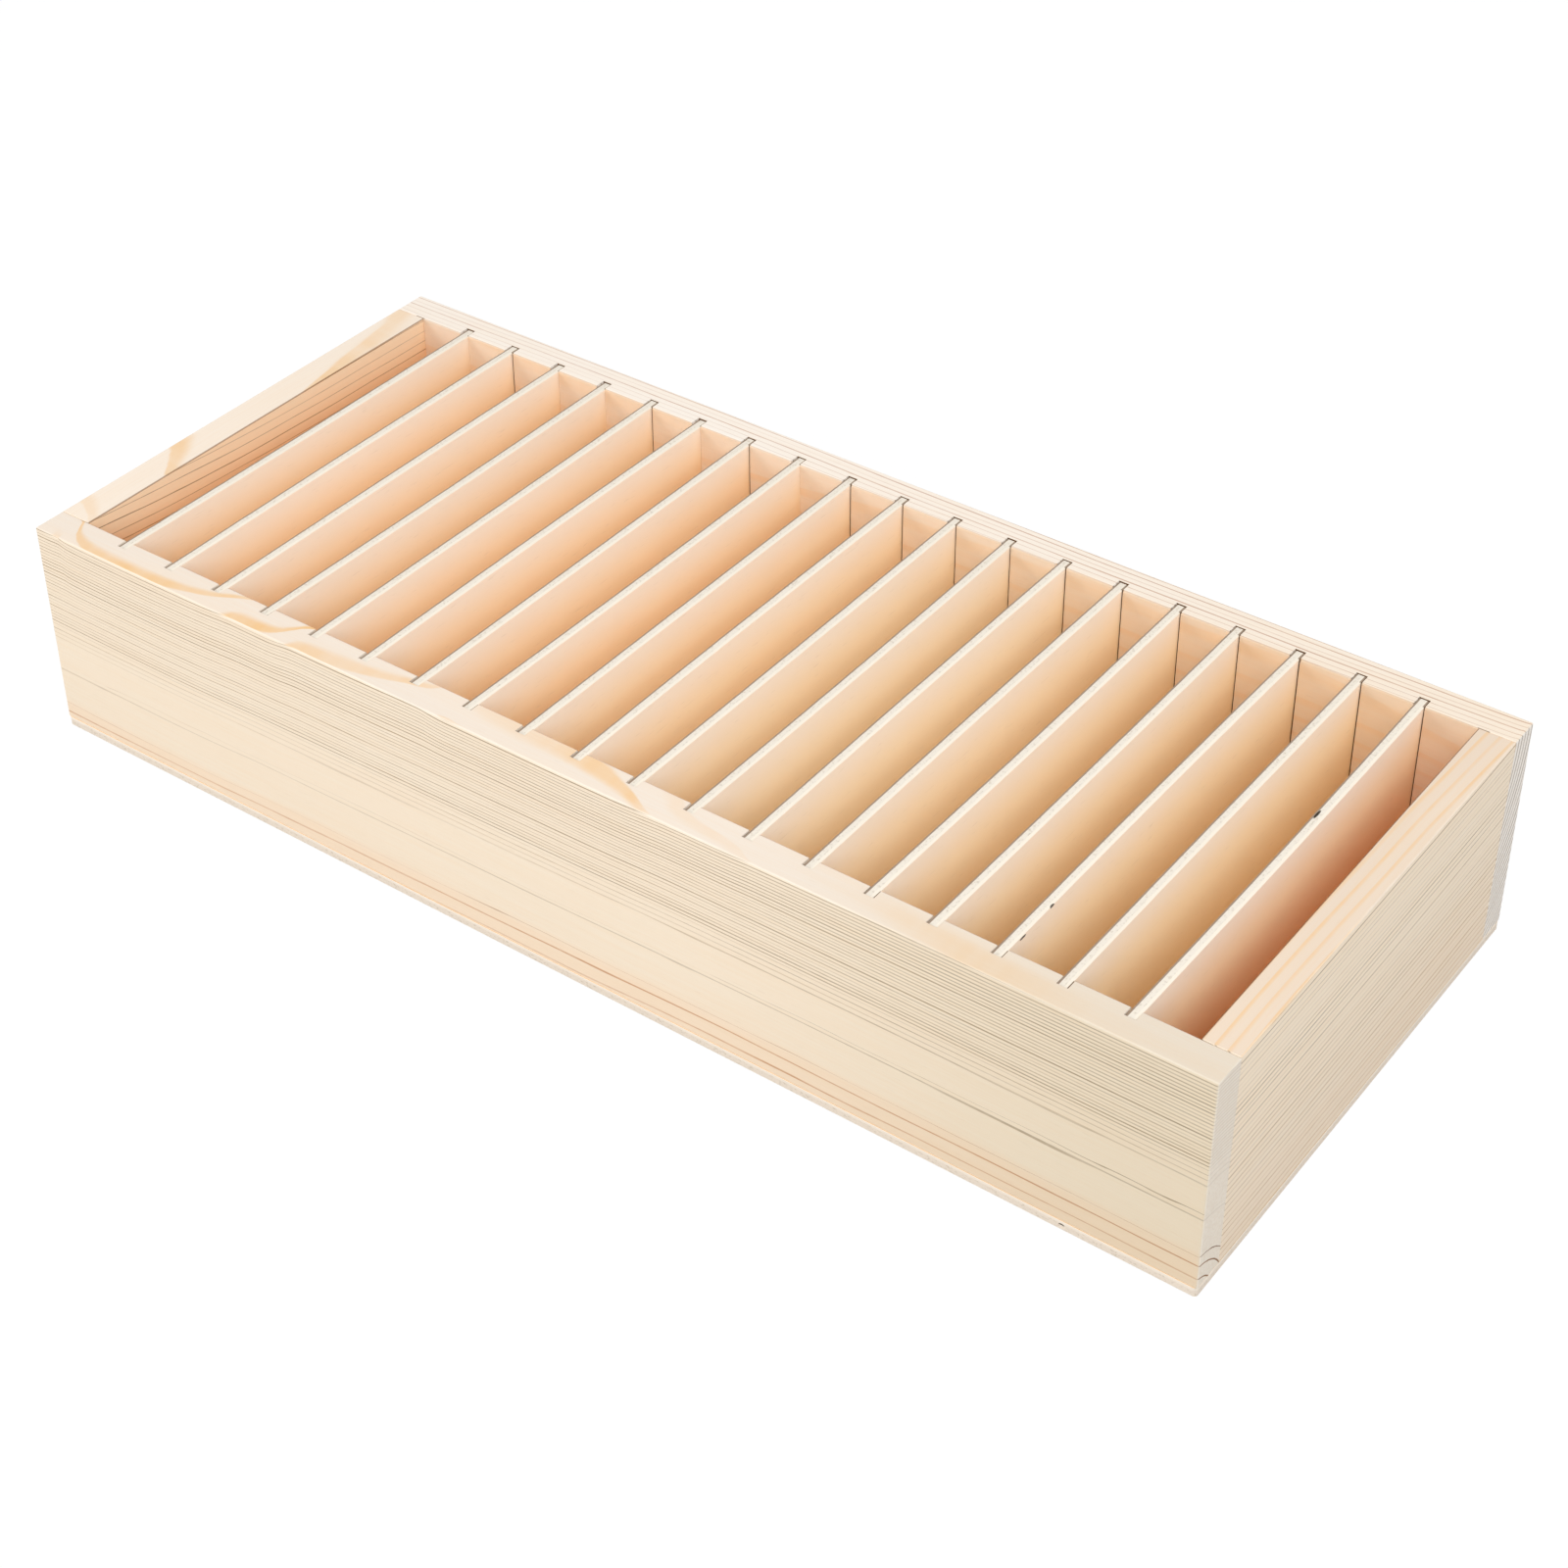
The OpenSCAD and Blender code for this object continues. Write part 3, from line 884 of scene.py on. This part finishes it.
right_look = {
    "early": PINE_CREAM,
    "rim": PINE_RIM_DULL,
    "wander": 3.0 * MM,
    "drift": [(-75, 0.45), (0, 0.3), (75, -0.45)],
    "rings": [(0, 0), (60, 36), (100, 60), (130, 78), (200, 120)],
    "line": [(0, 0.34), (200, 0.34)],
    "strength": [(0, 2.2), (200, 2.2)],
    "fade": (1.0, 0.9),
    "flat": [(-75, 0.7), (75, 0.7)],
    "arc": [(-75, 0.42), (75, 0.42)],
    "end": [(0, 0.5), (200, 0.5)],
    "core": 5 * MM,
    "painted_deep_shade": (75, 45, 1.0),
    "edge": (0.9, 0, END_BOARD_INNER + 0.1 * MM),
}
right_pine = make_pine("pine_right_end", QUARTER_TURN, (-111 * MM, -86.5 * MM), right_look)
fit_end_board("left_end_board_planed", "left_end_board", left_pine)
fit_end_board("right_end_board_planed", "right_end_board", right_pine)


# Dividers: nineteen loose plywood sheets, sawn to length, that stand on the bottom with
# their ends in the grooves. Thin sheets never stay quite flat or square in their grooves,
# so each one has its own slight bow, lean and sawn edge.
DIVIDER_LENGTH = 155.7 * MM
DIVIDER_THICKNESS = 3.0 * MM
DIVIDER_EDGE_ROUND = 0.18 * MM
DIVIDER_STEPS = 80
MOST_BOW = 0.45 * MM
GROOVE_SLACK = 0.15 * MM
SAW_WANDER = 0.25 * MM
SAW_SHORT = 0.10
LEANS_LEFT = (1, 4, 8, 15, 17, 18)
LEANS_RIGHT_BEHIND = (1, 3, 4, 6, 8)


def make_divider_tree():
    inputs = [
        ("Geometry", "NodeSocketGeometry", None),
        ("Length", "NodeSocketFloat", 0.15),
        ("Thickness", "NodeSocketFloat", 0.003),
        ("Height", "NodeSocketFloat", 0.07),
        ("Edge Round", "NodeSocketFloat", 0.0002),
        ("Bow", "NodeSocketFloat", 0.0),
        ("Front Shift", "NodeSocketFloat", 0.0),
        ("Back Shift", "NodeSocketFloat", 0.0),
        ("Saw Wander", "NodeSocketFloat", 0.0001),
        ("Place", "NodeSocketVector", (0.0, 0.0, 0.0)),
        ("Number", "NodeSocketFloat", 0.0),
        ("First Pit Place", "NodeSocketVector", (1.0, 0.0, 0.0)),
        ("First Pit Size", "NodeSocketVector", (0.001, 0.001, 0.001)),
        ("Second Pit Place", "NodeSocketVector", (2.0, 0.0, 0.0)),
        ("Second Pit Size", "NodeSocketVector", (0.001, 0.001, 0.001)),
        ("Material", "NodeSocketMaterial", None),
    ]
    tree, given, result, names = start_tree("divider_sheet", inputs)
    half = figure(tree, "MULTIPLY", given["Length"], 0.5)
    start = point_at(tree, y=figure(tree, "MULTIPLY", half, -1.0))
    end = point_at(tree, y=half)
    path = put(tree, "GeometryNodeCurvePrimitiveLine", {"Start": start, "End": end}).outputs[0]
    path = put(tree, "GeometryNodeResampleCurve", {"Curve": path, "Count": DIVIDER_STEPS}).outputs[0]
    outline_feeds = {"Width": given["Thickness"], "Height": given["Height"]}
    outline = put(tree, "GeometryNodeCurvePrimitiveQuadrilateral", outline_feeds).outputs[0]
    round_feeds = {"Curve": outline, "Radius": given["Edge Round"], "Count": 2}
    outline = put(tree, "GeometryNodeFilletCurve", round_feeds, mode="POLY").outputs[0]
    sheet_feeds = {"Curve": path, "Profile Curve": outline, "Fill Caps": True}
    sheet = put(tree, "GeometryNodeCurveToMesh", sheet_feeds).outputs[0]
    cut = put(tree, "GeometryNodeMeshBoolean", operation="DIFFERENCE", solver="EXACT")
    tree.links.new(sheet, cut.inputs["Mesh 1"])
    for pit in ("First", "Second"):
        feeds = {
            "Geometry": rough_ball(tree),
            "Translation": given[f"{pit} Pit Place"],
            "Scale": given[f"{pit} Pit Size"],
        }
        tree.links.new(put(tree, "GeometryNodeTransform", feeds).outputs[0], cut.inputs["Mesh 2"])
    sheet = cut.outputs[0]
    place = put(tree, "GeometryNodeInputPosition").outputs[0]
    store = put(tree, "GeometryNodeStoreNamedAttribute", data_type="FLOAT_VECTOR", domain="POINT")
    store.inputs["Name"].default_value = "sheet_position"
    tree.links.new(sheet, store.inputs["Geometry"])
    tree.links.new(place, store.inputs["Value"])
    count = put(tree, "GeometryNodeStoreNamedAttribute", data_type="FLOAT", domain="POINT")
    count.inputs["Name"].default_value = "sheet_number"
    tree.links.new(store.outputs[0], count.inputs["Geometry"])
    tree.links.new(given["Number"], count.inputs["Value"])
    x, y, z = arrow_parts(tree, place)
    share = figure(tree, "ADD", figure(tree, "DIVIDE", y, given["Length"]), 0.5)
    slide = figure(tree, "SUBTRACT", given["Back Shift"], given["Front Shift"])
    slide = figure(tree, "ADD", given["Front Shift"], figure(tree, "MULTIPLY", slide, share))
    swell = figure(tree, "SINE", figure(tree, "MULTIPLY", share, math.pi))
    sideways = figure(tree, "ADD", slide, figure(tree, "MULTIPLY", swell, given["Bow"]))
    across_saw = figure(tree, "MULTIPLY", x, 60.0)
    along_saw = figure(tree, "MULTIPLY", y, 45.0)
    saw_place = point_at(tree, across_saw, along_saw, given["Number"])
    saw_noise = mottle(tree, saw_place, 3.0, 3.0, 0.6).outputs[0]
    saw = figure(tree, "MULTIPLY", figure(tree, "SUBTRACT", saw_noise, 0.5), given["Saw Wander"])
    is_top = figure(tree, "GREATER_THAN", z, 0.0)
    upwards = figure(tree, "MULTIPLY", saw, is_top)
    offset = point_at(tree, x=sideways, z=upwards)
    stand = arrow(tree, "ADD", offset, given["Place"])
    moved = put(tree, "GeometryNodeSetPosition", {"Geometry": count.outputs[0], "Offset": stand}).outputs[0]
    flat = put(tree, "GeometryNodeSetShadeSmooth", {"Geometry": moved, "Shade Smooth": False}).outputs[0]
    end_tree(tree, flat, given["Material"], result)
    return tree, names


plywood = make_plywood("plywood_divider", VENEER_EDGE, CORE_EDGE)
divider_tree, divider_names = make_divider_tree()
for number in range(1, GROOVE_COUNT + 1):
    name = f"divider_{number:02d}"
    low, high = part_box(name)
    drop = (SAW_SHORT + SAW_SHORT * math.sin(number * 2.3)) * MM
    height = high[2] - low[2] - drop
    middle = ((low[0] + high[0]) / 2, (low[1] + high[1]) / 2, low[2] + height / 2)
    values = {
        "Length": DIVIDER_LENGTH,
        "Thickness": DIVIDER_THICKNESS,
        "Height": height,
        "Edge Round": DIVIDER_EDGE_ROUND,
        "Bow": MOST_BOW * math.sin(number * 1.7 + 0.6),
        "Front Shift": -GROOVE_SLACK if number in LEANS_LEFT else GROOVE_SLACK,
        "Back Shift": GROOVE_SLACK if number in LEANS_RIGHT_BEHIND else -GROOVE_SLACK,
        "Saw Wander": SAW_WANDER,
        "Place": middle,
        "Number": float(number),
        "Material": plywood,
    }
    pits = [(place, size) for sheet, place, size in VENEER_VOIDS if sheet == number]
    for label, (place, size) in zip(("First", "Second"), pits):
        values[f"{label} Pit Place"] = place
        values[f"{label} Pit Size"] = size
    divider = bpy.data.objects.new(f"{name}_sheet", bpy.data.meshes.new(f"{name}_sheet"))
    bpy.context.scene.collection.objects.link(divider)
    run_tree(divider, divider_tree, divider_names, values)
    shape = bmesh.new()
    shape.from_mesh(divider.data)
    bmesh.ops.recalc_face_normals(shape, faces=shape.faces)
    shape.to_mesh(divider.data)
    shape.free()
    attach(divider, name)
    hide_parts(name)


# Studio: a white paper floor that runs off into a white room, three square softboxes at the
# front left, the front and the right, and the camera at the front right, looking down on
# the box. None of it is part of the box.
CAMERA_AZIMUTH = math.radians(36.33)
CAMERA_ELEVATION = math.radians(35.94)
CAMERA_ROLL = math.radians(-0.34)
CAMERA_AIM = Vector((14.775 * MM, -3.799 * MM, 73.0 * MM))
CAMERA_DISTANCE = 852.9 * MM
CAMERA_LENS = 70.0
CAMERA_SHIFT_UP = -0.0888
CAMERA_SENSOR = 36.0
ROOM_LIGHT = 0.66
WHITE = (1.0, 1.0, 1.0, 1.0)
FLOOR_SIZE = 4.0
FLOOR_BELOW = 0.05 * MM
FLOOR_WHITE = (0.50, 0.50, 0.50, 1.0)
FLOOR_GREY = (0.48, 0.48, 0.48, 1.0)
FLOOR_GLOW = 1.1
FLOOR_GLOW_SHARE = 0.86
SOFTBOX_AIM = (0.0, 0.0, 0.04)
SOFTBOX_SIDE = 0.6
LIGHT_BOUNCES = 12


def seen_directly(tree):
    path = put(tree, "ShaderNodeLightPath").outputs
    seen = figure(tree, "MAXIMUM", path["Is Camera Ray"], path["Is Glossy Ray"])
    return figure(tree, "MAXIMUM", seen, path["Is Transmission Ray"])


def make_floor():
    material, tree = start_material("studio_floor")
    place = put(tree, "ShaderNodeTexCoord").outputs["Object"]
    grain = mottle(tree, place, 400.0, 2.0, 0.5).outputs["Fac"]
    paper = tint(tree, span(tree, grain, 0.3, 0.7), FLOOR_WHITE, FLOOR_GREY)
    matt = put(tree, "ShaderNodeBsdfDiffuse", {"Color": paper})
    lit = put(tree, "ShaderNodeEmission", {"Color": WHITE, "Strength": FLOOR_GLOW})
    share = figure(tree, "MULTIPLY", seen_directly(tree), FLOOR_GLOW_SHARE)
    mixed = put(tree, "ShaderNodeMixShader", {0: share, 1: matt.outputs[0], 2: lit.outputs[0]})
    put(tree, "ShaderNodeOutputMaterial", {"Surface": mixed.outputs[0]})
    shape = bmesh.new()
    bmesh.ops.create_grid(shape, x_segments=8, y_segments=8, size=FLOOR_SIZE)
    bmesh.ops.translate(shape, vec=(0.0, 0.0, -FLOOR_BELOW), verts=shape.verts)
    floor = finish_mesh("studio_floor", shape)
    floor.data.materials.append(material)


def light_room():
    world = bpy.data.worlds.new("white_room")
    world.use_nodes = True
    tree = world.node_tree
    tree.nodes.clear()
    light = put(tree, "ShaderNodeBackground", {"Color": WHITE, "Strength": ROOM_LIGHT})
    white = put(tree, "ShaderNodeBackground", {"Color": WHITE, "Strength": 1.0})
    feeds = {0: seen_directly(tree), 1: light.outputs[0], 2: white.outputs[0]}
    mixed = put(tree, "ShaderNodeMixShader", feeds)
    put(tree, "ShaderNodeOutputWorld", {"Surface": mixed.outputs[0]})
    bpy.context.scene.world = world


def hang_softbox(name, place, watts):
    lamp = bpy.data.lights.new(name, "AREA")
    lamp.shape = "RECTANGLE"
    lamp.size = SOFTBOX_SIDE
    lamp.size_y = SOFTBOX_SIDE
    lamp.energy = watts
    softbox = bpy.data.objects.new(name, lamp)
    softbox.location = place
    towards_box = Vector(SOFTBOX_AIM) - Vector(place)
    softbox.rotation_euler = towards_box.to_track_quat("-Z", "Y").to_euler()
    bpy.context.scene.collection.objects.link(softbox)


def set_camera():
    away = Vector((
        math.sin(CAMERA_AZIMUTH) * math.cos(CAMERA_ELEVATION),
        -math.cos(CAMERA_AZIMUTH) * math.cos(CAMERA_ELEVATION),
        math.sin(CAMERA_ELEVATION),
    ))
    level_right = (-away).cross(Vector((0.0, 0.0, 1.0))).normalized()
    level_up = level_right.cross(-away)
    right = level_right * math.cos(CAMERA_ROLL) + level_up * math.sin(CAMERA_ROLL)
    up = level_up * math.cos(CAMERA_ROLL) - level_right * math.sin(CAMERA_ROLL)
    turn = Matrix((right, up, away)).transposed().to_4x4()
    lens = bpy.data.cameras.new("camera")
    lens.lens = CAMERA_LENS
    lens.sensor_width = CAMERA_SENSOR
    lens.shift_y = CAMERA_SHIFT_UP
    camera = bpy.data.objects.new("camera", lens)
    camera.matrix_world = Matrix.Translation(CAMERA_AIM + away * CAMERA_DISTANCE) @ turn
    bpy.context.scene.collection.objects.link(camera)
    bpy.context.scene.camera = camera


make_floor()
light_room()
hang_softbox("front_left_softbox", (-0.9, -0.9, 0.6), 4.7)
hang_softbox("front_softbox", (0.4, -1.0, 0.7), 4.4)
hang_softbox("right_softbox", (1.0, 0.1, 1.15), 5.1)
set_camera()
bpy.context.scene.view_settings.view_transform = "Standard"
bpy.context.scene.cycles.diffuse_bounces = LIGHT_BOUNCES
